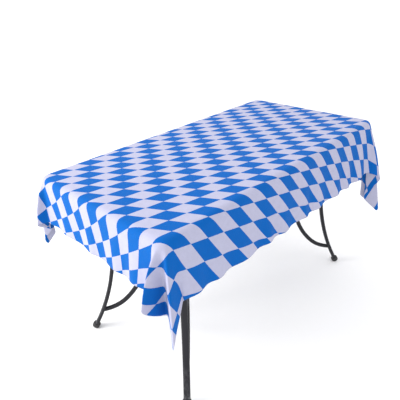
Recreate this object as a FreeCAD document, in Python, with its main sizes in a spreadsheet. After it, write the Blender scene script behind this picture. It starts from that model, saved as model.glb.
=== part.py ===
"""A cloth laid over a small knock-down steel table, millimetres, +Z up.

The origin is on the floor under the middle of the tabletop.  +X runs along the
tabletop from its near end to its far end, +Y across it from right to left.
Each leg is a flat-oval tube bent in an upright plane that runs diagonally in
from its foot; a round brace leaves it low down and sweeps up to the centre line.
"""
import FreeCAD, Part
import math
import os

import Sketcher
from FreeCAD import Placement, Rotation, Vector

doc = FreeCAD.newDocument("clothed_table")

# ---------------------------------------------------------------- driving sizes
SIZES = {
    # tabletop
    "top_length": 1220.0,
    "top_width": 610.0,
    "top_height": 737.0,
    "corner_radius": 62.0,
    "rim_diameter": 28.0,
    "rim_wall": 1.5,
    "panel_thickness": 1.2,
    "panel_step": 1.0,
    "panel_gap": 0.3,
    # rails under the panel
    "rail_width": 30.0,
    "rail_depth": 20.0,
    "rail_wall": 1.5,
    # legs
    "foot_reach_long": 558.0,
    "foot_reach_wide": 284.0,
    "leg_azimuth": 41.5,
    "foot_lean": 30.2,
    "leg_bend_radius": 1048.0,
    "leg_wide": 25.0,
    "leg_thick": 16.0,
    "leg_wall": 1.5,
    # braces
    "brace_diameter": 19.0,
    "brace_wall": 1.5,
    "brace_root_reach": 54.0,
    "brace_root_height": 98.0,
    "brace_root_angle": 7.4,
    "brace_low_radius": 175.0,
    "brace_mid_angle": 45.0,
    "brace_high_radius": 350.0,
    "brace_top_angle": 68.4,
    # foot caps
    "cap_diameter": 31.0,
    "cap_height": 20.0,
    "cap_floor": 6.0,
    "cap_edge": 3.0,
    "cap_wear": 1.0,
    "cap_grip": 0.1,
    # plates and fasteners
    "plate_thickness": 4.0,
    "leg_plate_long": 90.0,
    "leg_plate_wide": 36.0,
    "leg_bolt_pitch": 64.0,
    "apex_plate_long": 100.0,
    "apex_plate_wide": 50.0,
    "apex_bolt_pitch": 72.0,
    "plate_corner": 6.0,
    "bolt_diameter": 6.0,
    "bolt_hole": 6.6,
    "bolt_length": 16.0,
    "head_diameter": 10.0,
    "head_height": 6.0,
    "socket_across": 5.0,
    "socket_depth": 3.0,
    "washer_diameter": 12.0,
    "washer_thickness": 1.2,
    "nut_sleeve": 9.0,
    "nut_flange": 13.0,
    "nut_flange_height": 0.8,
    "nut_length": 11.0,
    "nut_fit": 0.1,
    # cloth
    "cloth_thickness": 2.0,
    "cloth_shoulder_in": 7.5,
    "cloth_shoulder_down": 9.0,
    "cloth_side_gap": 0.6,
    "cloth_crown_share": 0.4,
    "cloth_shoulder_share": 0.2,
    "cloth_flare": 65.0,
    "hem_near_left": 592.0,
    "hem_near_right": 565.0,
    "hem_right_near": 545.0,
    "hem_right_far": 515.0,
    "hem_far_right": 445.0,
    "hem_far_left": 470.0,
    "hem_left_near": 560.0,
    "hem_left_far": 590.0,
    "tail_near_left": 465.0,
    "tail_near_right": 415.0,
    "tail_far_right": 310.0,
    "tail_far_left": 335.0,
    "tail_base": 70.0,
    "tail_taper": 55.0,
    "trim_margin": 5.0,
}

sheet = doc.addObject("Spreadsheet::Sheet", "sizes")
for row, (alias, value) in enumerate(SIZES.items(), start=1):
    sheet.set("A%d" % row, alias)
    sheet.set("B%d" % row, "%g" % value)
    sheet.setAlias("B%d" % row, alias)
doc.recompute()


def size(alias):
    """Value of one driving size."""
    return float(sheet.get(alias))


# Heights and places that follow from the driving sizes.
RIM_AXIS_Z = size("top_height") - size("rim_diameter") / 2
PANEL_BOTTOM = size("top_height") - size("panel_step") - size("panel_thickness")
RAIL_BOTTOM = PANEL_BOTTOM - size("rail_depth")
PLATE_BOTTOM = RAIL_BOTTOM - size("plate_thickness")
LEAN = math.radians(size("foot_lean"))
AZIMUTH = math.radians(size("leg_azimuth"))
LEG_TOP_REACH = size("leg_bend_radius") * (1 - math.cos(LEAN))
RAIL_X = size("foot_reach_long") - LEG_TOP_REACH * math.cos(AZIMUTH)
LEG_TOP_Y = size("foot_reach_wide") - LEG_TOP_REACH * math.sin(AZIMUTH)
CORNERS = {
    "near_left": (-1, 1),
    "near_right": (-1, -1),
    "far_left": (1, 1),
    "far_right": (1, -1),
}
ENDS = {"near": -1, "far": 1}
PARTS = {}


# ---------------------------------------------------------------- small helpers
def new_body(label):
    """A body that becomes the part called label."""
    body = doc.addObject("PartDesign::Body", label + "_body")
    body.Label = label
    PARTS[label] = body
    return body


def sketch_on(body, name, role, offset=0.0):
    """A sketch on one of the body's own origin planes, moved along its normal."""
    plane = next(item for item in body.Origin.OriginFeatures if item.Role == role)
    sketch = body.newObject("Sketcher::SketchObject", name)
    sketch.AttachmentSupport = [(plane, "")]
    sketch.MapMode = "FlatFace"
    sketch.AttachmentOffset = Placement(Vector(0, 0, offset), Rotation())
    return sketch


def bind(sketch, constraint, name, formula):
    """Add a named sketch constraint whose value is a formula in the sheet."""
    index = sketch.addConstraint(constraint)
    sketch.renameConstraint(index, name)
    sketch.setExpression("Constraints." + name, formula)


def add_rounded_rectangle(sketch, tag, long_side, wide_side, radius):
    """A centred rounded rectangle; each argument is (start value, formula)."""
    half_x = long_side[0] / 2
    half_y = wide_side[0] / 2
    fillet = radius[0]
    inner_x = half_x - fillet
    inner_y = half_y - fillet
    lines = [
        sketch.addGeometry(Part.LineSegment(Vector(*a, 0), Vector(*b, 0)), False)
        for a, b in (
            ((-inner_x, -half_y), (inner_x, -half_y)),
            ((half_x, -inner_y), (half_x, inner_y)),
            ((inner_x, half_y), (-inner_x, half_y)),
            ((-half_x, inner_y), (-half_x, -inner_y)),
        )
    ]
    arcs = []
    for turn, (sx, sy) in enumerate(((1, -1), (1, 1), (-1, 1), (-1, -1))):
        circle = Part.Circle(Vector(sx * inner_x, sy * inner_y, 0), Vector(0, 0, 1), fillet)
        start = (turn - 1) * math.pi / 2
        arcs.append(sketch.addGeometry(Part.ArcOfCircle(circle, start, start + math.pi / 2), False))
    for turn in range(4):
        sketch.addConstraint(Sketcher.Constraint("Tangent", lines[turn], 2, arcs[turn], 1))
        sketch.addConstraint(Sketcher.Constraint("Tangent", arcs[turn], 2, lines[(turn + 1) % 4], 1))
        if turn:
            sketch.addConstraint(Sketcher.Constraint("Equal", arcs[0], arcs[turn]))
    sketch.addConstraint(Sketcher.Constraint("Horizontal", lines[0]))
    sketch.addConstraint(Sketcher.Constraint("Vertical", lines[1]))
    sketch.addConstraint(Sketcher.Constraint("Symmetric", arcs[0], 3, arcs[2], 3, -1, 1))
    bind(sketch, Sketcher.Constraint("Radius", arcs[0], fillet), tag + "_radius", radius[1])
    bind(sketch, Sketcher.Constraint("DistanceX", lines[3], 1, lines[1], 1, 2 * half_x),
         tag + "_long", long_side[1])
    bind(sketch, Sketcher.Constraint("DistanceY", lines[0], 1, lines[2], 1, 2 * half_y),
         tag + "_wide", wide_side[1])


def add_circle(sketch, tag, diameter, centre=(0.0, 0.0), formulas=None):
    """A circle; diameter is (start value, formula), its centre may be bound too."""
    circle = Part.Circle(Vector(*centre, 0), Vector(0, 0, 1), diameter[0] / 2)
    edge = sketch.addGeometry(circle, False)
    bind(sketch, Sketcher.Constraint("Diameter", edge, diameter[0]), tag + "_diameter", diameter[1])
    if formulas is None:
        sketch.addConstraint(Sketcher.Constraint("Coincident", edge, 3, -1, 1))
        return
    bind(sketch, Sketcher.Constraint("DistanceX", -1, 1, edge, 3, centre[0]), tag + "_x", formulas[0])
    bind(sketch, Sketcher.Constraint("DistanceY", -1, 1, edge, 3, centre[1]), tag + "_y", formulas[1])


def add_polygon(sketch, points):
    """A closed outline of straight edges whose corners are fixed in place."""
    count = len(points)
    for index in range(count):
        a = Vector(*points[index], 0)
        b = Vector(*points[(index + 1) % count], 0)
        edge = sketch.addGeometry(Part.LineSegment(a, b), False)
        sketch.addConstraint(Sketcher.Constraint("DistanceX", -1, 1, edge, 1, a.x))
        sketch.addConstraint(Sketcher.Constraint("DistanceY", -1, 1, edge, 1, a.y))
    for index in range(count):
        sketch.addConstraint(Sketcher.Constraint("Coincident", index, 2, (index + 1) % count, 1))


def add_flat_oval(sketch, tag, wide, thick, centre_x):
    """Flat-oval outline, wide along sketch Y; the three arguments are (value, formula)."""
    radius = thick[0] / 2
    flat = (wide[0] - thick[0]) / 2
    mid = centre_x[0]
    top = Part.Circle(Vector(mid, flat, 0), Vector(0, 0, 1), radius)
    low = Part.Circle(Vector(mid, -flat, 0), Vector(0, 0, 1), radius)
    upper = sketch.addGeometry(Part.ArcOfCircle(top, 0, math.pi), False)
    lower = sketch.addGeometry(Part.ArcOfCircle(low, math.pi, 2 * math.pi), False)
    left = sketch.addGeometry(Part.LineSegment(Vector(mid - radius, flat, 0),
                                               Vector(mid - radius, -flat, 0)), False)
    right = sketch.addGeometry(Part.LineSegment(Vector(mid + radius, -flat, 0),
                                                Vector(mid + radius, flat, 0)), False)
    for first, second in ((upper, left), (left, lower), (lower, right), (right, upper)):
        sketch.addConstraint(Sketcher.Constraint("Tangent", first, 2, second, 1))
    sketch.addConstraint(Sketcher.Constraint("Vertical", left))
    sketch.addConstraint(Sketcher.Constraint("Symmetric", upper, 3, lower, 3, -1))
    bind(sketch, Sketcher.Constraint("Radius", upper, radius), tag + "_radius", thick[1] + " / 2")
    bind(sketch, Sketcher.Constraint("DistanceY", lower, 3, upper, 3, 2 * flat),
         tag + "_flat", "%s - %s" % (wide[1], thick[1]))
    bind(sketch, Sketcher.Constraint("DistanceX", -1, 1, upper, 3, mid), tag + "_x", centre_x[1])


def pad(body, name, sketch, length):
    """Extrude a sketch; length is a formula in the sheet."""
    feature = body.newObject("PartDesign::Pad", name)
    feature.Profile = sketch
    feature.setExpression("Length", length)
    sketch.Visibility = False
    return feature


def pocket(body, name, sketch, length=None, reverse=False, midplane=False):
    """Cut a sketch into the body, and make sure that it takes material away."""
    doc.recompute()
    before = body.Shape.Volume
    feature = body.newObject("PartDesign::Pocket", name)
    feature.Profile = sketch
    feature.SideType = "Symmetric" if midplane else "One side"
    feature.Reversed = reverse
    if length is None:
        feature.Type = "ThroughAll"
    else:
        feature.setExpression("Length", length)
    doc.recompute()
    if not body.Shape.Volume < before - 1e-6:
        raise RuntimeError("%s cuts nothing from %s" % (name, body.Label))
    return feature


def pipe(body, name, kind, spine, profile):
    """Sweep a profile along a spine sketch of the same body."""
    feature = body.newObject("PartDesign::" + kind, name)
    feature.Profile = profile
    feature.Spine = (spine, [])
    return feature


def box(name, long_side, wide_side, height, place):
    """A block bound to the sheet, with its lowest corner at place."""
    item = doc.addObject("Part::Box", name)
    item.setExpression("Length", long_side)
    item.setExpression("Width", wide_side)
    item.setExpression("Height", height)
    item.Placement = Placement(Vector(*place), Rotation())
    return item


def cylinder(name, radius, height, place=(0, 0, 0)):
    """An upright cylinder bound to the sheet."""
    item = doc.addObject("Part::Cylinder", name)
    item.setExpression("Radius", radius)
    item.setExpression("Height", height)
    item.Placement = Placement(Vector(*place), Rotation())
    return item


def boolean(kind, name, base, tool):
    """Cut or fuse two objects."""
    item = doc.addObject("Part::" + kind, name)
    item.Base = base
    item.Tool = tool
    return item


def group_of_copies(label, original, places):
    """One part that holds a separate copy of an object at each place."""
    doc.recompute()
    part = doc.addObject("Part::Feature", label)
    part.Label = label
    part.Shape = Part.makeCompound([
        original.Shape.transformed(Placement(Vector(*place), Rotation()).toMatrix())
        for place in places
    ])
    PARTS[label] = part


def leg_placement(sign_x, sign_y):
    """Frame of a leg: +X runs in along its diagonal plane from the foot, +Z up."""
    inward = math.degrees(math.atan2(-sign_y * math.sin(AZIMUTH), -sign_x * math.cos(AZIMUTH)))
    foot = Vector(sign_x * size("foot_reach_long"), sign_y * size("foot_reach_wide"), 0)
    return Placement(foot, Rotation(Vector(0, 0, 1), inward))


# ---------------------------------------------------------------- tabletop
def make_rim():
    """Round tube bent into one closed ring around the tabletop."""
    body = new_body("rim_tube")
    spine = sketch_on(body, "rim_line", "XY_Plane", RIM_AXIS_Z)
    diameter = size("rim_diameter")
    add_rounded_rectangle(
        spine, "rim",
        (size("top_length") - diameter, "sizes.top_length - sizes.rim_diameter"),
        (size("top_width") - diameter, "sizes.top_width - sizes.rim_diameter"),
        (size("corner_radius") - diameter / 2, "sizes.corner_radius - sizes.rim_diameter / 2"))
    across = (size("top_width") - diameter) / 2
    for tag, kind, value, formula in (
            ("outside", "AdditivePipe", diameter, "sizes.rim_diameter"),
            ("bore", "SubtractivePipe", diameter - 2 * size("rim_wall"),
             "sizes.rim_diameter - 2 * sizes.rim_wall")):
        section = sketch_on(body, "rim_" + tag + "_section", "YZ_Plane")
        add_circle(section, tag, (value, formula), (-across, RIM_AXIS_Z),
                   ("-(sizes.top_width - sizes.rim_diameter) / 2",
                    "sizes.top_height - sizes.rim_diameter / 2"))
        pipe(body, "rim_" + tag, kind, spine, section)


def make_panel():
    """Sheet-steel panel that sits just inside the rim."""
    body = new_body("top_panel")
    outline = sketch_on(body, "panel_outline", "XY_Plane", PANEL_BOTTOM)
    inset = 2 * (size("rim_diameter") + size("panel_gap"))
    inset_formula = " - 2 * (sizes.rim_diameter + sizes.panel_gap)"
    add_rounded_rectangle(
        outline, "panel",
        (size("top_length") - inset, "sizes.top_length" + inset_formula),
        (size("top_width") - inset, "sizes.top_width" + inset_formula),
        (size("corner_radius") - inset / 2,
         "sizes.corner_radius - sizes.rim_diameter - sizes.panel_gap"))
    pad(body, "panel_sheet", outline, "sizes.panel_thickness")


def make_rails():
    """Two rectangular tubes across the table and one along its centre line."""
    half_inside = size("top_width") / 2 - size("rim_diameter")
    clearance = size("panel_gap")
    wall = size("rail_wall")
    hollow_wide = "sizes.rail_width - 2 * sizes.rail_wall"
    hollow_deep = "sizes.rail_depth - 2 * sizes.rail_wall"
    cross_length = "sizes.top_width - 2 * (sizes.rim_diameter + sizes.panel_gap)"
    for end, sign in ENDS.items():
        label = end + "_cross_rail"
        left_x = sign * RAIL_X - size("rail_width") / 2
        start_y = clearance - half_inside
        outer = box(label + "_outer", "sizes.rail_width", cross_length, "sizes.rail_depth",
                    (left_x, start_y, RAIL_BOTTOM))
        inner = box(label + "_inner", hollow_wide, cross_length, hollow_deep,
                    (left_x + wall, start_y, RAIL_BOTTOM + wall))
        tube = boolean("Cut", label + "_tube", outer, inner)
        PARTS[label] = drill(label, tube, leg_bolt_places(sign), "sizes.nut_sleeve / 2")
    length = 2 * (RAIL_X - size("rail_width") / 2)
    centre_length = ("2 * (sizes.foot_reach_long - sizes.leg_bend_radius * (1 - cos(sizes.foot_lean))"
                     " * cos(sizes.leg_azimuth)) - sizes.rail_width")
    outer = box("centre_rail_outer", centre_length, "sizes.rail_width", "sizes.rail_depth",
                (-length / 2, -size("rail_width") / 2, RAIL_BOTTOM))
    inner = box("centre_rail_inner", centre_length, hollow_wide, hollow_deep,
                (-length / 2, wall - size("rail_width") / 2, RAIL_BOTTOM + wall))
    tube = boolean("Cut", "centre_rail_tube", outer, inner)
    places = [place for sign in ENDS.values() for place in apex_bolt_places(sign)]
    PARTS["centre_rail"] = drill("centre_rail", tube, places, "sizes.nut_sleeve / 2")


def drill(label, blank, places, radius):
    """Cut an upright hole through the lowest wall of a rail at each place."""
    for index, (x, y) in enumerate(places):
        hole = cylinder("%s_hole_%d" % (label, index), radius, "2 * sizes.rail_wall",
                        (x, y, RAIL_BOTTOM - size("rail_wall") / 2))
        blank = boolean("Cut", "%s_drilled_%d" % (label, index), blank, hole)
    blank.Label = label
    return blank


def leg_bolt_places(sign):
    """Bolt places of the two leg plates at one end."""
    half = size("leg_bolt_pitch") / 2
    return [(sign * RAIL_X, side * LEG_TOP_Y + step) for side in (1, -1) for step in (half, -half)]


def apex_x():
    """Where the braces of one end meet the centre line."""
    root = math.radians(size("brace_root_angle"))
    middle = math.radians(size("brace_mid_angle"))
    top = math.radians(size("brace_top_angle"))
    low_r = size("brace_low_radius")
    high_r = size("brace_high_radius")
    reach = (size("brace_root_reach") + low_r * (math.sin(middle) - math.sin(root))
             + high_r * (math.sin(top) - math.sin(middle)))
    height = (size("brace_root_height") + low_r * (math.cos(root) - math.cos(middle))
              + high_r * (math.cos(middle) - math.cos(top)))
    reach += (PLATE_BOTTOM - height) / math.tan(top)
    return size("foot_reach_long") - reach * math.cos(AZIMUTH)


def apex_bolt_places(sign):
    """Bolt places of the plate under the centre rail at one end."""
    half = size("apex_bolt_pitch") / 2
    return [(sign * apex_x() + step, 0.0) for step in (half, -half)]


# ---------------------------------------------------------------- legs and braces
def add_leg_line(sketch, start):
    """Centre line of a leg: an arc up from near the foot, then straight up to its plate."""
    radius = size("leg_bend_radius")
    centre = Vector(-radius * math.cos(LEAN), radius * math.sin(LEAN), 0)
    first = -LEAN + start / radius
    circle = Part.Circle(centre, Vector(0, 0, 1), radius)
    arc = sketch.addGeometry(Part.ArcOfCircle(circle, first, 0.0), False)
    joint = Vector(LEG_TOP_REACH, radius * math.sin(LEAN), 0)
    line = sketch.addGeometry(Part.LineSegment(joint, Vector(LEG_TOP_REACH, PLATE_BOTTOM, 0)), False)
    sketch.addConstraint(Sketcher.Constraint("Tangent", arc, 2, line, 1))
    sketch.addConstraint(Sketcher.Constraint("Vertical", line))
    reach = "sizes.leg_bend_radius * (1 - cos(sizes.foot_lean))"
    bind(sketch, Sketcher.Constraint("Radius", arc, radius), "bend_radius", "sizes.leg_bend_radius")
    bind(sketch, Sketcher.Constraint("DistanceX", -1, 1, line, 1, LEG_TOP_REACH), "reach", reach)
    bind(sketch, Sketcher.Constraint("DistanceY", -1, 1, line, 1, joint.y), "bend_end",
         "sizes.leg_bend_radius * sin(sizes.foot_lean)")
    bind(sketch, Sketcher.Constraint("DistanceY", -1, 1, line, 2, PLATE_BOTTOM), "leg_top",
         "sizes.top_height - sizes.panel_step - sizes.panel_thickness - sizes.rail_depth"
         " - sizes.plate_thickness")
    sketch.addConstraint(Sketcher.Constraint("DistanceY", -1, 1, arc, 1,
                                             centre.y + radius * math.sin(first)))


def leg_section(body, name, hollow):
    """Flat-oval section of the leg tube, drawn where the tube meets its plate."""
    section = sketch_on(body, name, "XY_Plane", PLATE_BOTTOM)
    reach = (LEG_TOP_REACH, "sizes.leg_bend_radius * (1 - cos(sizes.foot_lean))")
    add_flat_oval(section, "outer", (size("leg_wide"), "sizes.leg_wide"),
                  (size("leg_thick"), "sizes.leg_thick"), reach)
    if hollow:
        wall = 2 * size("leg_wall")
        add_flat_oval(section, "inner",
                      (size("leg_wide") - wall, "(sizes.leg_wide - 2 * sizes.leg_wall)"),
                      (size("leg_thick") - wall, "(sizes.leg_thick - 2 * sizes.leg_wall)"), reach)
    return section


def cap_seat():
    """Distance along the leg from its axis at floor level to the cap's lower face."""
    edge = size("cap_edge")
    lowest = (size("cap_diameter") / 2 - edge) * math.sin(LEAN) + edge * (1 - math.cos(LEAN))
    return (lowest - size("cap_wear")) / math.cos(LEAN)


def make_leg(corner, signs):
    body = new_body(corner + "_leg")
    line = sketch_on(body, corner + "_leg_line", "XZ_Plane")
    add_leg_line(line, cap_seat() + size("cap_floor"))
    section = leg_section(body, corner + "_leg_section", hollow=True)
    pipe(body, corner + "_leg_tube", "AdditivePipe", line, section)
    body.Placement = leg_placement(*signs)


def add_brace_line(sketch):
    """Centre line of a brace: two arcs in one sweep, then straight up to its plate."""
    root = math.radians(size("brace_root_angle"))
    middle = math.radians(size("brace_mid_angle"))
    top = math.radians(size("brace_top_angle"))
    start = Vector(size("brace_root_reach"), size("brace_root_height"), 0)
    joints = [start]
    arcs = []
    for begin, end, radius in ((root, middle, size("brace_low_radius")),
                               (middle, top, size("brace_high_radius"))):
        centre = joints[-1] + Vector(-math.sin(begin), math.cos(begin), 0) * radius
        circle = Part.Circle(centre, Vector(0, 0, 1), radius)
        quarter = math.pi / 2
        arcs.append(sketch.addGeometry(Part.ArcOfCircle(circle, begin - quarter, end - quarter), False))
        joints.append(centre + Vector(math.sin(end), -math.cos(end), 0) * radius)
    rise = RAIL_BOTTOM - joints[-1].y
    finish = joints[-1] + Vector(rise / math.tan(top), rise, 0)
    line = sketch.addGeometry(Part.LineSegment(joints[-1], finish), False)
    sketch.addConstraint(Sketcher.Constraint("Tangent", arcs[0], 2, arcs[1], 1))
    sketch.addConstraint(Sketcher.Constraint("Tangent", arcs[1], 2, line, 1))
    bind(sketch, Sketcher.Constraint("Radius", arcs[0], size("brace_low_radius")), "low_radius",
         "sizes.brace_low_radius")
    bind(sketch, Sketcher.Constraint("Radius", arcs[1], size("brace_high_radius")), "high_radius",
         "sizes.brace_high_radius")
    bind(sketch, Sketcher.Constraint("DistanceX", -1, 1, arcs[0], 1, start.x), "root_reach",
         "sizes.brace_root_reach")
    bind(sketch, Sketcher.Constraint("DistanceY", -1, 1, arcs[0], 1, start.y), "root_height",
         "sizes.brace_root_height")
    for index, point in enumerate(joints[1:]):
        sketch.addConstraint(Sketcher.Constraint("DistanceX", -1, 1, arcs[index], 2, point.x))
    sketch.addConstraint(Sketcher.Constraint("DistanceY", -1, 1, line, 2, finish.y))
    return math.degrees(root), start


def make_brace(corner, signs):
    """Round tube, coped onto the leg at its foot end and trimmed under the apex plate."""
    body = new_body(corner + "_brace")
    line = sketch_on(body, corner + "_brace_line", "XZ_Plane")
    angle, start = add_brace_line(line)
    section = body.newObject("Sketcher::SketchObject", corner + "_brace_section")
    section.Placement = Placement(start_point(start), Rotation(Vector(0, 1, 0), 90 - angle))
    for tag, formula, value in (
            ("outer", "sizes.brace_diameter", size("brace_diameter")),
            ("inner", "sizes.brace_diameter - 2 * sizes.brace_wall",
             size("brace_diameter") - 2 * size("brace_wall"))):
        add_circle(section, tag, (value, formula))
    pipe(body, corner + "_brace_tube", "AdditivePipe", line, section)
    leg_line = sketch_on(body, corner + "_cope_line", "XZ_Plane")
    add_leg_line(leg_line, cap_seat())
    cope = leg_section(body, corner + "_cope_section", hollow=False)
    pipe(body, corner + "_cope", "SubtractivePipe", leg_line, cope)
    trim = sketch_on(body, corner + "_brace_trim", "XY_Plane", PLATE_BOTTOM)
    add_circle(trim, "trim", (size("top_length"), "sizes.top_length"))
    pocket(body, corner + "_brace_end", trim, reverse=True)
    body.Placement = leg_placement(*signs)


def start_point(point):
    """Sketch point of the upright leg plane as a point of the leg's own frame."""
    return Vector(point.x, 0, point.y)


def make_foot_cap(corner, signs):
    """Moulded cap pushed on the end of the leg, worn flat where it stands."""
    body = new_body(corner + "_foot_cap")
    outline = sketch_on(body, corner + "_cap_outline", "XY_Plane")
    add_circle(outline, "cap", (size("cap_diameter"), "sizes.cap_diameter"))
    block = pad(body, corner + "_cap_block", outline, "sizes.cap_height")
    doc.recompute()
    rounded = body.newObject("PartDesign::Fillet", corner + "_cap_edges")
    rounded.Base = (block, ["Edge%d" % (i + 1) for i, edge in enumerate(block.Shape.Edges)
                            if isinstance(edge.Curve, Part.Circle)])
    rounded.setExpression("Radius", "sizes.cap_edge")
    socket = sketch_on(body, corner + "_cap_socket", "XY_Plane", size("cap_height"))
    add_flat_oval(socket, "socket",
                  (size("leg_wide") + 2 * size("cap_grip"), "(sizes.leg_wide + 2 * sizes.cap_grip)"),
                  (size("leg_thick") + 2 * size("cap_grip"), "(sizes.leg_thick + 2 * sizes.cap_grip)"),
                  (0.0, "0"))
    pocket(body, corner + "_cap_hollow", socket, "sizes.cap_height - sizes.cap_floor")
    # The floor cuts the tilted cap: a wedge below the level line through its worn edge.
    reach = size("cap_diameter")
    level = cap_seat()
    wedge = sketch_on(body, corner + "_cap_floor", "XZ_Plane")
    slope = math.tan(LEAN)
    low = -level - reach * slope
    add_polygon(wedge, [(-reach, low), (reach, low), (reach, reach * slope - level)])
    pocket(body, corner + "_cap_sole", wedge, midplane=True)
    tilt = Rotation(Vector(0, 1, 0), size("foot_lean"))
    axis = Vector(math.sin(LEAN), 0, math.cos(LEAN))
    seat = Placement(axis * cap_seat(), tilt)
    body.Placement = leg_placement(*signs).multiply(seat)


# ---------------------------------------------------------------- plates and fasteners
def make_plate(label, long_side, wide_side, pitch, place, along_x):
    """Rounded plate with two bolt holes on its long centre line."""
    body = new_body(label)
    outline = sketch_on(body, label + "_outline", "XY_Plane")
    add_rounded_rectangle(outline, "plate", (size(long_side), "sizes." + long_side),
                          (size(wide_side), "sizes." + wide_side),
                          (size("plate_corner"), "sizes.plate_corner"))
    for tag, sign in (("first", 1), ("second", -1)):
        formula = "%d * sizes.%s / 2" % (sign, pitch)
        add_circle(outline, tag, (size("bolt_hole"), "sizes.bolt_hole"),
                   (sign * size(pitch) / 2, 0.0), (formula, "0"))
    pad(body, label + "_plate", outline, "sizes.plate_thickness")
    body.Placement = Placement(Vector(*place, PLATE_BOTTOM),
                               Rotation(Vector(0, 0, 1), 0 if along_x else 90))


def make_fasteners():
    """Socket-head bolts, washers and rivet nuts, one set for the legs and one for the apexes."""
    head_top = PLATE_BOTTOM - size("washer_thickness")
    head = cylinder("bolt_head", "sizes.head_diameter / 2", "sizes.head_height",
                    (0, 0, head_top - size("head_height")))
    shank = cylinder("bolt_shank", "sizes.bolt_diameter / 2", "sizes.bolt_length", (0, 0, head_top))
    key = doc.addObject("Part::Prism", "bolt_socket")
    key.Polygon = 6
    key.setExpression("Circumradius", "sizes.socket_across / sqrt(3)")
    key.setExpression("Height", "sizes.socket_depth")
    key.Placement = Placement(Vector(0, 0, head_top - size("head_height")), Rotation())
    bolt = boolean("Cut", "bolt", boolean("Fuse", "bolt_blank", head, shank), key)
    ring = cylinder("washer_ring", "sizes.washer_diameter / 2", "sizes.washer_thickness",
                    (0, 0, head_top))
    ring_hole = cylinder("washer_hole", "sizes.bolt_hole / 2", "sizes.washer_thickness",
                         (0, 0, head_top))
    washer = boolean("Cut", "washer", ring, ring_hole)
    inside = RAIL_BOTTOM + size("rail_wall")
    sleeve = cylinder("nut_sleeve_body", "(sizes.nut_sleeve - sizes.nut_fit) / 2", "sizes.nut_length",
                      (0, 0, RAIL_BOTTOM))
    flange = cylinder("nut_flange_body", "sizes.nut_flange / 2", "sizes.nut_flange_height",
                      (0, 0, inside))
    thread = cylinder("nut_thread", "(sizes.bolt_diameter + sizes.nut_fit) / 2", "sizes.nut_length",
                      (0, 0, RAIL_BOTTOM))
    nut = boolean("Cut", "rivet_nut", boolean("Fuse", "nut_blank", sleeve, flange), thread)
    sets = {
        "leg": [place for sign in ENDS.values() for place in leg_bolt_places(sign)],
        "apex": [place for sign in ENDS.values() for place in apex_bolt_places(sign)],
    }
    for name, places in sets.items():
        spots = [(x, y, 0) for x, y in places]
        group_of_copies(name + "_bolts", bolt, spots)
        group_of_copies(name + "_washers", washer, spots)
        group_of_copies(name + "_rivet_nuts", nut, spots)


# ---------------------------------------------------------------- cloth
def cloth_sections(body, tag, grow, low_margin):
    """Rounded rectangles at crown, shoulder, full flare and lowest tail, grown outwards by grow."""
    shoulder_z = size("top_height") - size("cloth_shoulder_down")
    levels = (
        (size("top_height") + grow, -size("cloth_shoulder_in") + grow * size("cloth_crown_share")),
        (shoulder_z + grow * size("cloth_shoulder_share"), size("cloth_side_gap") + grow),
        (size("tail_near_right"), size("cloth_flare") + grow),
        (size("tail_far_right") - low_margin, size("cloth_flare") + grow),
    )
    sections = []
    for index, (height, out) in enumerate(levels):
        section = sketch_on(body, "%s_%d" % (tag, index), "XY_Plane", height)
        add_rounded_rectangle(section, "edge",
                              (size("top_length") + 2 * out, "sizes.top_length + 2 * (%g)" % out),
                              (size("top_width") + 2 * out, "sizes.top_width + 2 * (%g)" % out),
                              (size("corner_radius") + out, "sizes.corner_radius + (%g)" % out))
        sections.append(section)
    return sections


def loft(body, name, kind, sections):
    """Ruled loft through the sections."""
    feature = body.newObject("PartDesign::" + kind, name)
    feature.Profile = sections[0]
    feature.Sections = sections[1:]
    feature.Ruled = True
    return feature


def make_cloth():
    """The laid cloth as one thin shell: flat crown, four drops and four corner tails."""
    body = new_body("tablecloth")
    margin = size("trim_margin")
    outside = cloth_sections(body, "outside", size("cloth_thickness"), 0.0)
    loft(body, "cloth_outside", "AdditiveLoft", outside)
    doc.recompute()
    loft(body, "cloth_inside", "SubtractiveLoft", cloth_sections(body, "inside", 0.0, margin))
    # One trim below each hem, from tail to tail.  An XZ sketch looks towards -Y, a YZ one towards +X.
    half_long = size("top_length") / 2
    half_wide = size("top_width") / 2
    for name, role, half, reverse, heights in (
            ("right", "XZ_Plane", half_long, True, ("near_right", "right_near", "right_far", "far_right")),
            ("left", "XZ_Plane", half_long, False, ("near_left", "left_near", "left_far", "far_left")),
            ("near", "YZ_Plane", half_wide, False, ("near_right", "near_right", "near_left", "near_left")),
            ("far", "YZ_Plane", half_wide, True, ("far_right", "far_right", "far_left", "far_left"))):
        trim_hem(body, name, role, half, reverse, heights)


def trim_hem(body, name, role, half, reverse, heights):
    """Cut one side of the cloth to its tails and hem; heights names them in sketch order."""
    first_tail, first_hem, last_hem, last_tail = heights
    inner = half - size("tail_base")
    foot = inner + size("tail_taper")
    reach = half + size("cloth_flare") + size("trim_margin")
    floor = size("tail_far_right") - size("trim_margin")
    outline = [
        (-reach, floor),
        (-reach, size("tail_" + first_tail)),
        (-foot, size("tail_" + first_tail)),
        (-inner, size("hem_" + first_hem)),
        (inner, size("hem_" + last_hem)),
        (foot, size("tail_" + last_tail)),
        (reach, size("tail_" + last_tail)),
        (reach, floor),
    ]
    cut = sketch_on(body, "hem_%s" % name, role)
    add_polygon(cut, outline)
    pocket(body, "hem_cut_%s" % name, cut, reverse=reverse)


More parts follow.
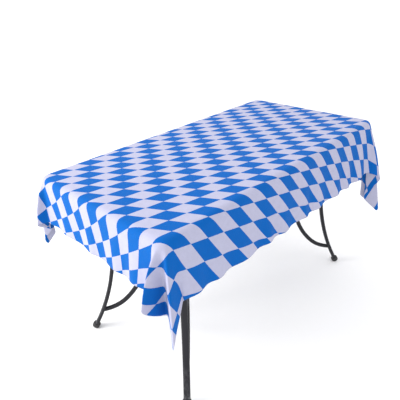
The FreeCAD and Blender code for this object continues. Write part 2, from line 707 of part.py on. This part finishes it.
# ---------------------------------------------------------------- build, check and write
make_rim()
make_panel()
make_rails()
for corner_name, corner_signs in CORNERS.items():
    make_leg(corner_name, corner_signs)
    make_brace(corner_name, corner_signs)
    make_foot_cap(corner_name, corner_signs)
    make_plate(corner_name + "_leg_plate", "leg_plate_long", "leg_plate_wide", "leg_bolt_pitch",
               (corner_signs[0] * RAIL_X, corner_signs[1] * LEG_TOP_Y), along_x=False)
for end_name, end_sign in ENDS.items():
    make_plate(end_name + "_apex_plate", "apex_plate_long", "apex_plate_wide", "apex_bolt_pitch",
               (end_sign * apex_x(), 0.0), along_x=True)
make_fasteners()
make_cloth()
doc.recompute()

for item in doc.Objects:
    if "Invalid" in item.State or "Error" in item.State:
        raise RuntimeError("%s did not build: %s" % (item.Label, item.State))
os.makedirs("parts", exist_ok=True)
for label, part in PARTS.items():
    if part.Shape.isNull() or not part.Shape.isValid():
        raise RuntimeError("%s has a bad shape" % label)
    part.Shape.exportStep("parts/%s.step" % label)
    extent = part.Shape.optimalBoundingBox()
    print("%-24s %9.1f mm3  x %7.1f %7.1f  y %7.1f %7.1f  z %6.1f %6.1f" % (
        label, part.Shape.Volume, extent.XMin, extent.XMax, extent.YMin, extent.YMax,
        extent.ZMin, extent.ZMax))
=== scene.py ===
"""A printed cloth laid over a small steel table: the settled cloth, finishes, light and camera.

Metres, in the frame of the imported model: the origin is on the floor under the middle of the
tabletop, +X runs from the near end to the far end, +Y from the right side to the left side.
"""
import math

import bpy
import numpy as np
from mathutils import Matrix, Vector


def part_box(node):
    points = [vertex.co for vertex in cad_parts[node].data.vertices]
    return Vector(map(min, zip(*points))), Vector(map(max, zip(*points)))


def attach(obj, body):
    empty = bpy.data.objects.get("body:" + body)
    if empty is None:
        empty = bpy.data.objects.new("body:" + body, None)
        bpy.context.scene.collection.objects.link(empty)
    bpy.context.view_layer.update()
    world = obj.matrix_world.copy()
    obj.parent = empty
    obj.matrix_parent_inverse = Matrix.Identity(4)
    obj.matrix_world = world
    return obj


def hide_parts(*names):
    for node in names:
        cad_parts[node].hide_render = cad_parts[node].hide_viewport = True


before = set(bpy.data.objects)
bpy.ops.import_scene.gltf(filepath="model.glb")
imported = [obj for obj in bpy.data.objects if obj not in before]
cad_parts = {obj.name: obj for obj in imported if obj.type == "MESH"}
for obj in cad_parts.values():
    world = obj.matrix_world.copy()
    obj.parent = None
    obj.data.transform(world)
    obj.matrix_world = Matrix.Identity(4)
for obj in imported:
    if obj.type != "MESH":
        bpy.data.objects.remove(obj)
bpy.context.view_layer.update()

scene = bpy.context.scene
MM = 0.001

# ---------------------------------------------------------------- tabletop, from the frame
rim_low, rim_high = (Vector(corner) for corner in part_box("rim_tube"))
HALF_LONG = (rim_high.x - rim_low.x) / 2
HALF_WIDE = (rim_high.y - rim_low.y) / 2
TOP_Z = rim_high.z
RIM_RADIUS = (rim_high.z - rim_low.z) / 2
# The rim's outer corner radius in plan, as in the CAD model.
CORNER_RADIUS = 62 * MM
# The cloth cuts its corners less than the rim does.
CLOTH_CORNER = 30 * MM

# ---------------------------------------------------------------- cloth, cut and laid
FLAT_LONG = 1.70
FLAT_WIDE = 0.97
# Where the middle of the cloth lies from the middle of the table, and how far it is turned.
LAID_SHIFT = (0.0725, -0.030)
LAID_TURN = math.radians(-2.0)
# The spacing of the cloth's points, and how far its underside stays above the rim.
GRID = 12 * MM
CLOTH_LIFT = 1.5 * MM
CLOTH_THICKNESS = 0.5 * MM
# The cloth is stiff enough to turn the edge in a wide bend that stands clear of the rim.
BEND_RADIUS = 22 * MM
STAND_OUT = 8.5 * MM
# How far each drop leans out, for each metre of drop: at the two ends, then at the two sides.
LEAN_LONG = {-1: 0.10, 1: 0.09}
LEAN_WIDE = {-1: 0.15, 1: 0.08}
# Folds of each corner's spare cloth, round from the end to the side: the share of the corner that
# a fold takes, how strongly it stands out, the way it points, in degrees from end to side, and
# where across it the fold peaks.
CORNER_FOLDS = {
    (-1, -1): ((0.40, 1.9, -30, 0.5), (0.60, 0.80, 50, 0.22)),
    (-1, 1): ((0.36, 2.7, 0, 0.5), (0.30, 2.0, 15, 0.5), (0.34, 0.95, 70, 0.5)),
    (1, -1): ((0.28, 0.8, 50, 0.5), (0.27, 1.6, 75, 0.5), (0.45, 0.9, 65, 0.5)),
    (1, 1): ((0.33, 0.9, 20, 0.5), (0.34, 0.9, 45, 0.5), (0.33, 0.9, 70, 0.5)),
}
# Folds swell just under the edge and then hang straight: the drop over which they swell.
FOLD_SWELL = {(-1, -1): 0.10, (-1, 1): 0.06, (1, -1): 0.40, (1, 1): 0.30}
# How far the valleys between the folds reach in under the edge, for each metre of drop.
CORNER_TUCK = {(-1, -1): 0.32, (-1, 1): 0.05, (1, -1): 0.0, (1, 1): 0.05}
# Nearer to 1 gives the folds sharper ridges and valleys.
FOLD_SHARPNESS = 0.93
# How much longer each corner is made to hang after settling, as if stretched on the bias.
CORNER_SAG = {(-1, -1): 0.28, (-1, 1): 0.12, (1, -1): 0.19, (1, 1): 0.15}
# Flutes along the drops: how far they stand out at the hem, and how often they come.
FLUTE_HEIGHT = 6 * MM
FLUTE_PITCH = 0.115
FULL_DROP = 0.18
# They grow with a power of the drop up to a limit, and their phase wanders along the hem.
FLUTE_GROWTH = 1.5
FLUTE_LIMIT = 1.3
FLUTE_WANDER = 0.9
FLUTE_WANDER_PITCH = 2.7
# How sharply the stretch on the bias gathers at the middle of a corner.
BIAS_SHARPNESS = 1.2

# ---------------------------------------------------------------- settling
SETTLE_FRAMES = 50
# How firmly the drops and the corners are steered towards the way they were hung, up to 1.
STEER = 0.62
CORNER_STEER = 0.95
# The cloth is held in full a little past the edge, and let go over a longer stretch.
HELD_PAST_EDGE = 5 * MM
LET_GO_OVER = 40 * MM
VERTEX_MASS = 0.05
# The stand-in for the tabletop is smaller all round by the gap that the solver keeps.
STAND_IN_GAP = 2.0 * MM
CONTACT_SHARE = 0.75

# ---------------------------------------------------------------- lozenge print
# One corner of the pattern and the two sides of a lozenge, on the tabletop.
PRINT_CORNER = (-0.287, -0.081)
PRINT_SIDE_LONG = (0.0584, -0.0101)
PRINT_SIDE_WIDE = (0.0275, -0.0543)
# On the drops the pattern runs larger and slides along the edge. Below are the scale and the slide
# at the two ends, then at the two sides: a constant term, one that grows along the edge, and for
# the scale one that grows with the drop, for the slide one that grows with the square of the place
# along the edge.
PRINT_SCALE_ENDS = {-1: (0.70, 0.53, 2.0), 1: (0.90, 0.0, 0.0)}
PRINT_SLIDE_ENDS = {-1: (0.49, 1.33, -3.4), 1: (0.0, 0.0, 0.0)}
PRINT_SCALE_SIDES = {-1: (0.86, 0.04, -0.80), 1: (0.80, 0.0, 0.0)}
PRINT_SLIDE_SIDES = {-1: (-0.40, 0.02, 1.17), 1: (0.0, 0.0, 0.0)}
PRINT_SCALE_LIMIT = 1.1
# At the ends, both stay as they are beyond these two places across the table.
PRINT_STEADY_RIGHT = -0.22
PRINT_STEADY_LEFT = 0.15


def make_object(name, vertices, faces):
    """A mesh object from plain lists."""
    mesh = bpy.data.meshes.new(name)
    mesh.from_pydata([tuple(v) for v in vertices], [], faces)
    mesh.update()
    piece = bpy.data.objects.new(name, mesh)
    scene.collection.objects.link(piece)
    return piece


# ---------------------------------------------------------------- first shape of the cloth
def over_the_edge(run, lean):
    """Plan distance, height and length of drop of cloth that runs straight out over the edge."""
    flat_run = CLOTH_CORNER + STAND_OUT - BEND_RADIUS
    top = TOP_Z + CLOTH_LIFT
    if run <= flat_run:
        return run, top, 0.0
    full_turn = math.pi / 2 - math.atan(lean)
    turn = min((run - flat_run) / BEND_RADIUS, full_turn)
    drop = run - flat_run - BEND_RADIUS * turn
    reach = flat_run + BEND_RADIUS * math.sin(turn)
    return reach, top - BEND_RADIUS * (1 - math.cos(turn)), drop


def fold_wave(share, peak):
    """A rounded zigzag from 0 up to 1 at the peak and back to 0."""
    phase = share / peak / 2 if share < peak else 1 - (1 - share) / (1 - peak) / 2
    wave = math.asin(FOLD_SHARPNESS * math.cos(2 * math.pi * phase))
    return 0.5 - 0.5 * wave / math.asin(FOLD_SHARPNESS)


def corner_fold(corner, share, drop):
    """How far the spare cloth stands out at one place round a corner, for each metre of drop."""
    swell = FOLD_SWELL[corner] / max(drop, 1 * MM)
    swell *= 1 - math.exp(-1 / swell)
    start = 0.0
    for width, standing, direction, peak in CORNER_FOLDS[corner]:
        if share <= start + width:
            wave = fold_wave((share - start) / width, peak)
            swing = swell * standing * math.pi / 4 * width * wave
            tuck = CORNER_TUCK[corner] * (1 - wave) * math.sin(math.pi * share) * math.sqrt(0.5)
            heading = math.radians(direction)
            return swing * math.cos(heading) - tuck, swing * math.sin(heading) - tuck
        start += width
    return 0.0, 0.0


def first_hang(x, y):
    """Where a point of the flat cloth starts: on the top, or hanging with its corner folds laid."""
    inner_x = HALF_LONG - CLOTH_CORNER
    inner_y = HALF_WIDE - CLOTH_CORNER
    side_x = 1 if x > 0 else -1
    side_y = 1 if y > 0 else -1
    out_x = max(0.0, abs(x) - inner_x)
    out_y = max(0.0, abs(y) - inner_y)
    if out_x == 0 and out_y == 0:
        return (x, y, TOP_Z + CLOTH_LIFT)
    angle = math.atan2(out_y, out_x)
    share = 2 * angle / math.pi
    lean = LEAN_LONG[side_x] * (1 - share) + LEAN_WIDE[side_y] * share
    reach, height, drop = over_the_edge(math.hypot(out_x, out_y), lean)
    fold_x, fold_y = 0.0, 0.0
    if out_x > 0 and out_y > 0:
        fold_x, fold_y = corner_fold((side_x, side_y), share, drop)
    push_x = lean * math.cos(angle) + fold_x
    push_y = lean * math.sin(angle) + fold_y
    fall = math.sqrt(max(0.0, 1 - push_x * push_x - push_y * push_y))
    place_x = min(abs(x), inner_x) + reach * math.cos(angle) + push_x * drop
    place_y = min(abs(y), inner_y) + reach * math.sin(angle) + push_y * drop
    return (side_x * place_x, side_y * place_y, height - drop * fall)


def cut_cloth():
    """The cloth hung roughly in place, with a shape key that holds it flat; also its flat points."""
    across = round(FLAT_LONG / GRID)
    up = round(FLAT_WIDE / GRID)
    cos_turn, sin_turn = math.cos(LAID_TURN), math.sin(LAID_TURN)
    flat = []
    for j in range(up + 1):
        for i in range(across + 1):
            x = (i / across - 0.5) * FLAT_LONG
            y = (j / up - 0.5) * FLAT_WIDE
            flat.append((LAID_SHIFT[0] + x * cos_turn - y * sin_turn,
                         LAID_SHIFT[1] + x * sin_turn + y * cos_turn,
                         TOP_Z + CLOTH_LIFT))
    stride = across + 1
    faces = [(j * stride + i, j * stride + i + 1, (j + 1) * stride + i + 1, (j + 1) * stride + i)
             for j in range(up) for i in range(across)]
    cloth = make_object("tablecloth_fabric", [first_hang(x, y) for x, y, _ in flat], faces)
    cloth.shape_key_add(name="hung")
    key = cloth.shape_key_add(name="flat")
    for index, point in enumerate(flat):
        key.data[index].co = point
    key.value = 0.0
    return cloth, np.array(flat)


# ---------------------------------------------------------------- settling under gravity
def rounded_outline(half_x, half_y, radius, count):
    """Points round a rounded rectangle, anticlockwise."""
    points = []
    for turn, (sx, sy) in enumerate(((1, 1), (-1, 1), (-1, -1), (1, -1))):
        for step in range(count + 1):
            angle = (turn + step / count) * math.pi / 2
            points.append((sx * (half_x - radius) + radius * math.cos(angle),
                           sy * (half_y - radius) + radius * math.sin(angle)))
    return points


def make_stand_in(gap):
    """Closed stand-in for the tabletop, smaller by gap all round, that the cloth settles on."""
    vertices, faces = [], []
    rows = 10
    count = 12
    for row in range(rows + 1):
        angle = math.pi / 2 - math.pi * row / rows
        inset = gap + RIM_RADIUS * (1 - math.cos(angle))
        height = TOP_Z - RIM_RADIUS + (RIM_RADIUS - gap) * math.sin(angle)
        vertices += [(x, y, height) for x, y in rounded_outline(
            HALF_LONG - inset, HALF_WIDE - inset, CORNER_RADIUS - inset, count)]
    loop = 4 * (count + 1)
    for row in range(rows):
        for index in range(loop):
            after = (index + 1) % loop
            faces.append((row * loop + index, (row + 1) * loop + index,
                          (row + 1) * loop + after, row * loop + after))
    faces.append(tuple(range(loop)))
    faces.append(tuple(reversed(range(rows * loop, (rows + 1) * loop))))
    return make_object("stand_in", vertices, faces)


def hold(x, y):
    """How firmly a point keeps its place: fully on the top and the bend, less on the drops."""
    past_long = abs(x) - HALF_LONG
    past_wide = abs(y) - HALF_WIDE
    in_corner = min(past_long, past_wide) > -CORNER_RADIUS / 2
    firm = 1 - (max(past_long, past_wide) - HELD_PAST_EDGE) / LET_GO_OVER
    return max(CORNER_STEER if in_corner else STEER, min(1.0, firm))


def settle(cloth, flat):
    """Relax the laid shape under gravity and keep the shape it comes to."""
    stand_in = make_stand_in(STAND_IN_GAP)
    stand_in.modifiers.new("Collision", "COLLISION")
    stand_in.collision.thickness_outer = STAND_IN_GAP * CONTACT_SHARE
    stand_in.collision.cloth_friction = 20.0
    group = cloth.vertex_groups.new(name="held")
    for index, (x, y, _) in enumerate(flat):
        group.add([index], hold(x, y), "REPLACE")
    modifier = cloth.modifiers.new("Cloth", "CLOTH")
    settings = modifier.settings
    settings.rest_shape_key = cloth.data.shape_keys.key_blocks["flat"]
    settings.vertex_group_mass = group.name
    settings.pin_stiffness = 1.0
    settings.quality = 8
    settings.mass = VERTEX_MASS
    settings.air_damping = 5.0
    for name, stiffness, damping in (("tension", 40, 10), ("compression", 40, 10),
                                     ("shear", 8, 10), ("bending", 0.5, 1.0)):
        setattr(settings, name + "_stiffness", stiffness)
        setattr(settings, name + "_damping", damping)
    collisions = modifier.collision_settings
    collisions.distance_min = STAND_IN_GAP * CONTACT_SHARE
    collisions.collision_quality = 3
    collisions.use_self_collision = True
    collisions.self_distance_min = STAND_IN_GAP
    modifier.point_cache.frame_start = 1
    modifier.point_cache.frame_end = SETTLE_FRAMES
    scene.frame_start = 1
    scene.frame_end = SETTLE_FRAMES
    for step in range(1, SETTLE_FRAMES + 1):
        scene.frame_set(step)
    graph = bpy.context.evaluated_depsgraph_get()
    settled = bpy.data.meshes.new_from_object(cloth.evaluated_get(graph))
    cloth.modifiers.clear()
    cloth.shape_key_clear()
    cloth.data = settled
    cloth.vertex_groups.clear()
    bpy.data.objects.remove(stand_in)
    scene.frame_set(1)


# ---------------------------------------------------------------- after settling
def finish_hang(cloth, flat):
    """Stretch the corners on the bias and put the shallow flutes in the drops."""
    inner_x = HALF_LONG - CLOTH_CORNER
    inner_y = HALF_WIDE - CLOTH_CORNER
    start_z = TOP_Z - BEND_RADIUS
    for vertex, (x, y, _) in zip(cloth.data.vertices, flat):
        depth = start_z - vertex.co.z
        if depth <= 0:
            continue
        side_x = 1 if x > 0 else -1
        side_y = 1 if y > 0 else -1
        out_x = max(0.0, abs(x) - inner_x)
        out_y = max(0.0, abs(y) - inner_y)
        angle = math.atan2(out_y, out_x)
        on_bias = math.sin(2 * angle) ** BIAS_SHARPNESS if out_x > 0 and out_y > 0 else 0.0
        vertex.co.z -= depth * CORNER_SAG[(side_x, side_y)] * on_bias
        along = y if out_x > out_y else x
        phase = 2 * math.pi * along / FLUTE_PITCH
        wander = FLUTE_WANDER * math.sin(phase / FLUTE_WANDER_PITCH + side_x + 2 * side_y)
        wave = math.sin(phase + wander)
        growth = min(FLUTE_LIMIT, depth / FULL_DROP) ** FLUTE_GROWTH
        strength = FLUTE_HEIGHT * growth * (1 - on_bias)
        vertex.co.x += side_x * wave * strength * math.cos(angle)
        vertex.co.y += side_y * wave * strength * math.sin(angle)


def pull_print(value, half, along, scales, slides):
    """Place in the pattern across one edge, and how far the pattern slides along that edge."""
    over = abs(value) - half
    if over <= 0:
        return value, 0.0
    side = 1 if value > 0 else -1
    constant, slope, growth = scales[side]
    scale = min(PRINT_SCALE_LIMIT, constant + slope * along + growth * over)
    constant, slope, curve = slides[side]
    return side * (half + over * scale), over * (constant + slope * along + curve * along * along)


def print_place(x, y):
    """Where a point of the flat cloth lies in the pattern, counted in lozenges."""
    along_x = max(-HALF_LONG, min(HALF_LONG, x))
    along_y = max(PRINT_STEADY_RIGHT, min(PRINT_STEADY_LEFT, y))
    end_x, slide_y = pull_print(x, HALF_LONG, along_y, PRINT_SCALE_ENDS, PRINT_SLIDE_ENDS)
    side_y, slide_x = pull_print(y, HALF_WIDE, along_x, PRINT_SCALE_SIDES, PRINT_SLIDE_SIDES)
    px = end_x + slide_x - PRINT_CORNER[0]
    py = side_y + slide_y - PRINT_CORNER[1]
    ax, ay = PRINT_SIDE_LONG
    bx, by = PRINT_SIDE_WIDE
    area = ax * by - bx * ay
    return ((px * by - bx * py) / area, (ax * py - ay * px) / area)


def add_coordinates(mesh, name, places):
    """A UV layer with one place for each vertex."""
    layer = mesh.uv_layers.new(name=name)
    for loop in mesh.loops:
        layer.data[loop.index].uv = places[loop.vertex_index]


def apply_modifiers(piece):
    """Replace the mesh with what its modifiers make of it."""
    graph = bpy.context.evaluated_depsgraph_get()
    made = bpy.data.meshes.new_from_object(piece.evaluated_get(graph))
    piece.modifiers.clear()
    piece.data = made


def make_cloth():
    """The whole cloth: cut, settled, finished and given its thickness."""
    cloth, flat = cut_cloth()
    settle(cloth, flat)
    finish_hang(cloth, flat)
    add_coordinates(cloth.data, "print", [print_place(x, y) for x, y, _ in flat])
    add_coordinates(cloth.data, "weave", [(x, y) for x, y, _ in flat])
    smooth = cloth.modifiers.new("Smooth", "SUBSURF")
    smooth.levels = 1
    thick = cloth.modifiers.new("Thickness", "SOLIDIFY")
    thick.thickness = CLOTH_THICKNESS
    thick.offset = 1.0
    apply_modifiers(cloth)
    cloth.data.shade_smooth()
    return cloth


# ---------------------------------------------------------------- finishes
class Finish:
    """A new material with a few helpers that add and join its nodes."""

    def __init__(self, name):
        self.material = bpy.data.materials.new(name)
        self.material.use_nodes = True
        self.nodes = self.material.node_tree.nodes
        self.links = self.material.node_tree.links
        self.shader = self.nodes["Principled BSDF"]

    def join(self, source, target):
        """Set a socket from a value, or link it to another socket."""
        if isinstance(source, bpy.types.NodeSocket):
            self.links.new(source, target)
        else:
            target.default_value = source

    def coordinates(self, layer=None):
        """Object coordinates, or a UV layer by name."""
        if layer is None:
            return self.nodes.new("ShaderNodeTexCoord").outputs["Object"]
        node = self.nodes.new("ShaderNodeUVMap")
        node.uv_map = layer
        return node.outputs["UV"]

    def noise(self, vector, scale, detail=2.0, roughness=0.5):
        """Noise value from 0 to 1."""
        node = self.nodes.new("ShaderNodeTexNoise")
        node.inputs["Scale"].default_value = scale
        node.inputs["Detail"].default_value = detail
        node.inputs["Roughness"].default_value = roughness
        self.join(vector, node.inputs["Vector"])
        return node.outputs["Fac"]

    def wave(self, vector, direction, scale):
        """Parallel bands from 0 to 1."""
        node = self.nodes.new("ShaderNodeTexWave")
        node.bands_direction = direction
        node.inputs["Scale"].default_value = scale
        self.join(vector, node.inputs["Vector"])
        return node.outputs["Fac"]

    def math(self, operation, first, second=0.0):
        """One arithmetic step on two values."""
        node = self.nodes.new("ShaderNodeMath")
        node.operation = operation
        self.join(first, node.inputs[0])
        self.join(second, node.inputs[1])
        return node.outputs[0]

    def spread(self, value, low, high, to_low, to_high):
        """Map a value from one range to another, held inside it."""
        node = self.nodes.new("ShaderNodeMapRange")
        for socket, item in zip(("Value", "From Min", "From Max", "To Min", "To Max"),
                                (value, low, high, to_low, to_high)):
            self.join(item, node.inputs[socket])
        return node.outputs[0]

    def mix(self, factor, first, second, blend="MIX"):
        """Mix two colours."""
        node = self.nodes.new("ShaderNodeMix")
        node.data_type = "RGBA"
        node.blend_type = blend
        self.join(factor, node.inputs["Factor"])
        self.join(first, node.inputs[6])
        self.join(second, node.inputs[7])
        return node.outputs[2]

    def bump(self, height, distance, strength=1.0, normal=None):
        """Surface relief from a height, on top of another relief if one is given."""
        node = self.nodes.new("ShaderNodeBump")
        node.inputs["Strength"].default_value = strength
        node.inputs["Distance"].default_value = distance
        self.join(height, node.inputs["Height"])
        if normal is not None:
            self.join(normal, node.inputs["Normal"])
        return node.outputs["Normal"]


PRINT_BLUE = (0.001, 0.112, 0.44, 1)
PRINT_WHITE = (0.45, 0.455, 0.60, 1)
FRAME_BLACK = (0.012, 0.012, 0.016, 1)
PANEL_BLACK = (0.018, 0.018, 0.022, 1)
RUBBED_PAINT = (0.16, 0.16, 0.17, 1)
FOOT_BLACK = (0.016, 0.016, 0.018, 1)
FOOT_SCUFF = (0.075, 0.073, 0.07, 1)
BLACKENED_STEEL = (0.035, 0.035, 0.037, 1)
ZINC_PLATE = (0.56, 0.57, 0.56, 1)
FLOOR_SHADE = (0.95, 0.95, 0.95, 1)
FLOOR_PALE = (0.97, 0.97, 0.97, 1)
# How far the threads move the print's edges, in lozenges, and how fine the threads are.
PRINT_RAGGED = 0.03
THREAD_NOISE = 420.0
THREAD_SCALE = 290.0
MID_CELL = 0.5


def printed_cloth():
    """Plain-weave polyester with a lozenge print that the threads break up a little."""
    finish = Finish("printed_cloth")
    place = finish.coordinates("print")
    weave = finish.coordinates("weave")
    ragged = finish.nodes.new("ShaderNodeVectorMath")
    ragged.operation = "MULTIPLY_ADD"
    wander = finish.nodes.new("ShaderNodeTexNoise")
    wander.inputs["Scale"].default_value = THREAD_NOISE
    finish.join(weave, wander.inputs["Vector"])
    finish.join(wander.outputs["Color"], ragged.inputs[0])
    ragged.inputs[1].default_value = (PRINT_RAGGED, PRINT_RAGGED, 0.0)
    finish.join(place, ragged.inputs[2])
    centred = finish.nodes.new("ShaderNodeVectorMath")
    centred.operation = "ADD"
    centred.inputs[1].default_value = (-PRINT_RAGGED / 2, -PRINT_RAGGED / 2, MID_CELL)
    finish.join(ragged.outputs[0], centred.inputs[0])
    checker = finish.nodes.new("ShaderNodeTexChecker")
    checker.inputs["Scale"].default_value = 1.0
    checker.inputs["Color1"].default_value = PRINT_BLUE
    checker.inputs["Color2"].default_value = PRINT_WHITE
    finish.join(centred.outputs[0], checker.inputs["Vector"])
    warp = finish.wave(weave, "X", THREAD_SCALE)
    weft = finish.wave(weave, "Y", THREAD_SCALE)
    threads = finish.math("MULTIPLY", warp, weft)
    mottle = finish.noise(weave, 60.0, 3.0)
    shade = finish.math("ADD", finish.spread(threads, 0.0, 1.0, 0.94, 1.03),
                        finish.spread(mottle, 0.3, 0.7, -0.03, 0.03))
    colour = finish.mix(1.0, checker.outputs["Color"], shade, "MULTIPLY")
    finish.join(colour, finish.shader.inputs["Base Color"])
    finish.join(finish.spread(mottle, 0.3, 0.7, 0.66, 0.78), finish.shader.inputs["Roughness"])
    creases = finish.noise(weave, 14.0, 4.0, 0.55)
    rumpled = finish.bump(creases, 2.5 * MM, 0.5)
    finish.join(finish.bump(threads, 0.15 * MM, 0.6, rumpled), finish.shader.inputs["Normal"])
    finish.shader.inputs["Sheen Weight"].default_value = 0.03
    finish.shader.inputs["Sheen Roughness"].default_value = 0.4
    finish.shader.inputs["Specular IOR Level"].default_value = 0.08
    return finish.material


def powder_coat(name, colour, grain):
    """Satin powder coat: fine orange peel, a little dust, and rubbed edges."""
    finish = Finish(name)
    place = finish.coordinates()
    dust = finish.noise(place, 9.0, 4.0)
    wear = finish.noise(place, 55.0, 5.0, 0.65)
    edge = finish.nodes.new("ShaderNodeNewGeometry").outputs["Pointiness"]
    rubbed = finish.math("MULTIPLY", finish.spread(edge, 0.52, 0.58, 0.0, 1.0),
                         finish.spread(wear, 0.45, 0.6, 0.0, 1.0))
    dusty = finish.mix(finish.spread(dust, 0.4, 0.75, 0.0, 0.35), colour,
                       tuple(c * 1.9 + 0.004 for c in colour[:3]) + (1,))
    finish.join(finish.mix(rubbed, dusty, RUBBED_PAINT), finish.shader.inputs["Base Color"])
    finish.join(finish.spread(dust, 0.3, 0.7, 0.34, 0.52), finish.shader.inputs["Roughness"])
    peel = finish.noise(place, grain, 2.0)
    finish.join(finish.bump(peel, 0.12 * MM, 0.5), finish.shader.inputs["Normal"])
    finish.shader.inputs["Specular IOR Level"].default_value = 0.25
    return finish.material


def moulded_plastic():
    """Matt moulded plastic with a fine spark texture, scuffed paler in patches."""
    finish = Finish("foot_plastic")
    place = finish.coordinates()
    scuff = finish.noise(place, 120.0, 5.0, 0.7)
    colour = finish.mix(finish.spread(scuff, 0.5, 0.72, 0.0, 0.6), FOOT_BLACK, FOOT_SCUFF)
    finish.join(colour, finish.shader.inputs["Base Color"])
    finish.join(finish.spread(scuff, 0.3, 0.7, 0.45, 0.7), finish.shader.inputs["Roughness"])
    grain = finish.noise(place, 1500.0, 2.0)
    finish.join(finish.bump(grain, 0.1 * MM, 0.4), finish.shader.inputs["Normal"])
    return finish.material


def plated_steel(name, colour, rough_low, rough_high):
    """Plated or blackened steel with faint handling marks."""
    finish = Finish(name)
    place = finish.coordinates()
    marks = finish.noise(place, 260.0, 4.0, 0.6)
    paler = tuple(min(1.0, c * 1.35 + 0.01) for c in colour[:3]) + (1,)
    finish.join(finish.mix(finish.spread(marks, 0.4, 0.7, 0.0, 1.0), colour, paler),
                finish.shader.inputs["Base Color"])
    finish.join(finish.spread(marks, 0.3, 0.7, rough_low, rough_high),
                finish.shader.inputs["Roughness"])
    finish.join(finish.bump(marks, 0.05 * MM, 0.3), finish.shader.inputs["Normal"])
    finish.shader.inputs["Metallic"].default_value = 1.0
    return finish.material


def finish_frame():
    """Give every carried-over part its own finish."""
    frame_paint = powder_coat("frame_paint", FRAME_BLACK, 900.0)
    panel_paint = powder_coat("panel_paint", PANEL_BLACK, 600.0)
    finishes = {
        "top_panel": panel_paint,
        "foot_cap": moulded_plastic(),
        "bolts": plated_steel("black_fasteners", BLACKENED_STEEL, 0.35, 0.5),
        "rivet_nuts": plated_steel("zinc_nuts", ZINC_PLATE, 0.25, 0.4),
    }
    finishes["washers"] = finishes["bolts"]
    for name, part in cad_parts.items():
        material = next((item for ending, item in finishes.items() if name.endswith(ending)),
                        frame_paint)
        part.data.materials.clear()
        part.data.materials.append(material)


cloth = make_cloth()
cloth.data.materials.clear()
cloth.data.materials.append(printed_cloth())
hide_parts("tablecloth")
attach(cloth, "root")
finish_frame()


# ---------------------------------------------------------------- floor and light
FLOOR_REACH = 30.0
SKY_COLOUR = (0.98, 0.98, 1.0, 1)
SKY_STRENGTH = 1.2
KEY_PLACE = (-2.6, 1.9, 1.9)
KEY_AIM = (-0.2, 0.0, 0.6)
KEY_SIDE = 1.8
KEY_POWER = 100.0
KEY_COLOUR = (1.0, 0.99, 0.97)


def make_floor():
    """A plain pale floor that reaches past the view."""
    edge = FLOOR_REACH
    floor = make_object("floor", [(-edge, -edge, 0), (edge, -edge, 0), (edge, edge, 0),
                                  (-edge, edge, 0)], [(0, 1, 2, 3)])
    finish = Finish("pale_floor")
    speckle = finish.noise(finish.coordinates(), 30.0, 3.0)
    finish.join(finish.mix(speckle, FLOOR_SHADE, FLOOR_PALE), finish.shader.inputs["Base Color"])
    finish.shader.inputs["Roughness"].default_value = 0.9
    finish.shader.inputs["Specular IOR Level"].default_value = 0.1
    floor.data.materials.append(finish.material)


def add_light(name, place, aim, side, power, colour):
    """A square soft box at place, turned towards aim."""
    data = bpy.data.lights.new(name, "AREA")
    data.shape = "SQUARE"
    data.size = side
    data.energy = power
    data.color = colour
    light = bpy.data.objects.new(name, data)
    light.location = place
    light.rotation_euler = (Vector(aim) - Vector(place)).to_track_quat("-Z", "Y").to_euler()
    scene.collection.objects.link(light)


def light_the_scene():
    """Bright even surroundings with one broad soft box beyond the near left corner."""
    world = bpy.data.worlds.new("studio")
    scene.world = world
    world.use_nodes = True
    background = world.node_tree.nodes["Background"]
    background.inputs["Color"].default_value = SKY_COLOUR
    background.inputs["Strength"].default_value = SKY_STRENGTH
    add_light("key", KEY_PLACE, KEY_AIM, KEY_SIDE, KEY_POWER, KEY_COLOUR)


# ---------------------------------------------------------------- camera
CAMERA_PLACE = Vector((-1.095, -0.904, 1.2689))
CAMERA_AIM = Vector((-0.2183, -0.0515, 0.5))
CAMERA_ROLL = 0.0389
CAMERA_LENS = 34.82
CAMERA_SHIFT_UP = 0.0625


def place_camera():
    """The camera, with its own roll and a small upward shift."""
    data = bpy.data.cameras.new("camera")
    data.sensor_width = 36.0
    data.lens = CAMERA_LENS
    data.shift_y = CAMERA_SHIFT_UP
    camera = bpy.data.objects.new("camera", data)
    scene.collection.objects.link(camera)
    forward = (CAMERA_AIM - CAMERA_PLACE).normalized()
    right = forward.cross(Vector((0, 0, 1))).normalized()
    down = forward.cross(right)
    cos_roll, sin_roll = math.cos(CAMERA_ROLL), math.sin(CAMERA_ROLL)
    axes = Matrix((cos_roll * right + sin_roll * down,
                   sin_roll * right - cos_roll * down,
                   -forward)).transposed()
    camera.matrix_world = Matrix.Translation(CAMERA_PLACE) @ axes.to_4x4()
    scene.camera = camera


make_floor()
light_the_scene()
place_camera()
scene.view_settings.view_transform = "Standard"
